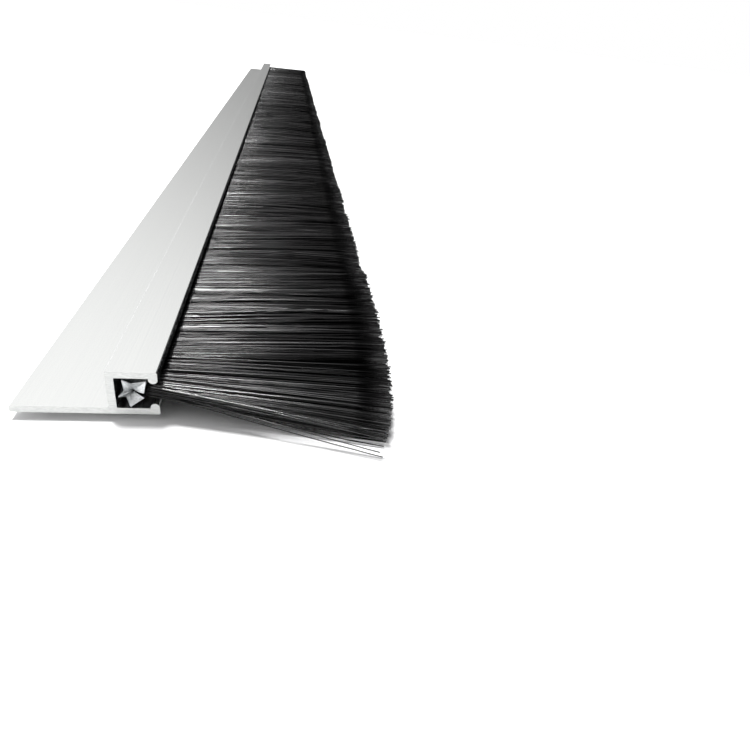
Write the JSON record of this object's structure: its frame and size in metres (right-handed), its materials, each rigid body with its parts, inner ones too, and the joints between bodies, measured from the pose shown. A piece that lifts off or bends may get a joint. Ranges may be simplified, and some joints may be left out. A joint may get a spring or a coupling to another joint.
{
  "type": "door sweep",
  "caption": "Straight brush door sweep: flat-flanged aluminium channel holding a steel-backed black bristle strip that slides out.",
  "frame": {"origin": "centre of the holder's flat back, the face that goes against the door", "axes": "+Z away from the door face, +Y along the sweep, +X towards the bristle tips"},
  "size_m": [0.0815, 0.9436, 0.0104],
  "materials": {
    "aluminium": "mill finish, satin, with fine lengthwise die lines",
    "galvanised_steel": "thin galvanised sheet, folded in at its ends",
    "wire": "plain drawn wire",
    "filament": "black nylon filament, slightly glossy along its length"
  },
  "bodies": {
    "holder": {"holder": "aluminium"},
    "strip": {"backing_channel": "galvanised_steel", "core_wire": "wire", "filament_roots": "filament"},
    "bank_01": {"bristle_bank_01": "filament"},
    "bank_02": {"bristle_bank_02": "filament"},
    "bank_03": {"bristle_bank_03": "filament"},
    "bank_04": {"bristle_bank_04": "filament"},
    "bank_05": {"bristle_bank_05": "filament"},
    "bank_06": {"bristle_bank_06": "filament"},
    "bank_07": {"bristle_bank_07": "filament"},
    "bank_08": {"bristle_bank_08": "filament"},
    "bank_09": {"bristle_bank_09": "filament"},
    "bank_10": {"bristle_bank_10": "filament"},
    "bank_11": {"bristle_bank_11": "filament"},
    "bank_12": {"bristle_bank_12": "filament"},
    "bank_13": {"bristle_bank_13": "filament"},
    "bank_14": {"bristle_bank_14": "filament"},
    "bank_15": {"bristle_bank_15": "filament"},
    "bank_16": {"bristle_bank_16": "filament"},
    "bank_17": {"bristle_bank_17": "filament"},
    "bank_18": {"bristle_bank_18": "filament"}
  },
  "joints": [
    {"name": "strip_slide", "type": "slide", "parent": "holder", "child": "strip", "axis": [0, 1, 0], "range_m": [0, 0.93]},
    {"name": "bank_01_flex", "type": "hinge", "parent": "strip", "child": "bank_01", "pos_m": [0.0175, 0, 0.0052], "axis": [0, 1, 0], "range_deg": [-30, 30], "stiffness_Nm_per_rad": 0.12},
    {"name": "bank_02_flex", "type": "hinge", "parent": "strip", "child": "bank_02", "pos_m": [0.0175, 0, 0.0052], "axis": [0, 1, 0], "range_deg": [-30, 30], "stiffness_Nm_per_rad": 0.12},
    {"name": "bank_03_flex", "type": "hinge", "parent": "strip", "child": "bank_03", "pos_m": [0.0175, 0, 0.0052], "axis": [0, 1, 0], "range_deg": [-30, 30], "stiffness_Nm_per_rad": 0.12},
    {"name": "bank_04_flex", "type": "hinge", "parent": "strip", "child": "bank_04", "pos_m": [0.0175, 0, 0.0052], "axis": [0, 1, 0], "range_deg": [-30, 30], "stiffness_Nm_per_rad": 0.12},
    {"name": "bank_05_flex", "type": "hinge", "parent": "strip", "child": "bank_05", "pos_m": [0.0175, 0, 0.0052], "axis": [0, 1, 0], "range_deg": [-30, 30], "stiffness_Nm_per_rad": 0.12},
    {"name": "bank_06_flex", "type": "hinge", "parent": "strip", "child": "bank_06", "pos_m": [0.0175, 0, 0.0052], "axis": [0, 1, 0], "range_deg": [-30, 30], "stiffness_Nm_per_rad": 0.12},
    {"name": "bank_07_flex", "type": "hinge", "parent": "strip", "child": "bank_07", "pos_m": [0.0175, 0, 0.0052], "axis": [0, 1, 0], "range_deg": [-30, 30], "stiffness_Nm_per_rad": 0.12},
    {"name": "bank_08_flex", "type": "hinge", "parent": "strip", "child": "bank_08", "pos_m": [0.0175, 0, 0.0052], "axis": [0, 1, 0], "range_deg": [-30, 30], "stiffness_Nm_per_rad": 0.12},
    {"name": "bank_09_flex", "type": "hinge", "parent": "strip", "child": "bank_09", "pos_m": [0.0175, 0, 0.0052], "axis": [0, 1, 0], "range_deg": [-30, 30], "stiffness_Nm_per_rad": 0.12},
    {"name": "bank_10_flex", "type": "hinge", "parent": "strip", "child": "bank_10", "pos_m": [0.0175, 0, 0.0052], "axis": [0, 1, 0], "range_deg": [-30, 30], "stiffness_Nm_per_rad": 0.12},
    {"name": "bank_11_flex", "type": "hinge", "parent": "strip", "child": "bank_11", "pos_m": [0.0175, 0, 0.0052], "axis": [0, 1, 0], "range_deg": [-30, 30], "stiffness_Nm_per_rad": 0.12},
    {"name": "bank_12_flex", "type": "hinge", "parent": "strip", "child": "bank_12", "pos_m": [0.0175, 0, 0.0052], "axis": [0, 1, 0], "range_deg": [-30, 30], "stiffness_Nm_per_rad": 0.12},
    {"name": "bank_13_flex", "type": "hinge", "parent": "strip", "child": "bank_13", "pos_m": [0.0175, 0, 0.0052], "axis": [0, 1, 0], "range_deg": [-30, 30], "stiffness_Nm_per_rad": 0.12},
    {"name": "bank_14_flex", "type": "hinge", "parent": "strip", "child": "bank_14", "pos_m": [0.0175, 0, 0.0052], "axis": [0, 1, 0], "range_deg": [-30, 30], "stiffness_Nm_per_rad": 0.12},
    {"name": "bank_15_flex", "type": "hinge", "parent": "strip", "child": "bank_15", "pos_m": [0.0175, 0, 0.0052], "axis": [0, 1, 0], "range_deg": [-30, 30], "stiffness_Nm_per_rad": 0.12},
    {"name": "bank_16_flex", "type": "hinge", "parent": "strip", "child": "bank_16", "pos_m": [0.0175, 0, 0.0052], "axis": [0, 1, 0], "range_deg": [-30, 30], "stiffness_Nm_per_rad": 0.12},
    {"name": "bank_17_flex", "type": "hinge", "parent": "strip", "child": "bank_17", "pos_m": [0.0175, 0, 0.0052], "axis": [0, 1, 0], "range_deg": [-30, 30], "stiffness_Nm_per_rad": 0.12},
    {"name": "bank_18_flex", "type": "hinge", "parent": "strip", "child": "bank_18", "pos_m": [0.0175, 0, 0.0052], "axis": [0, 1, 0], "range_deg": [-30, 30], "stiffness_Nm_per_rad": 0.12}
  ]
}
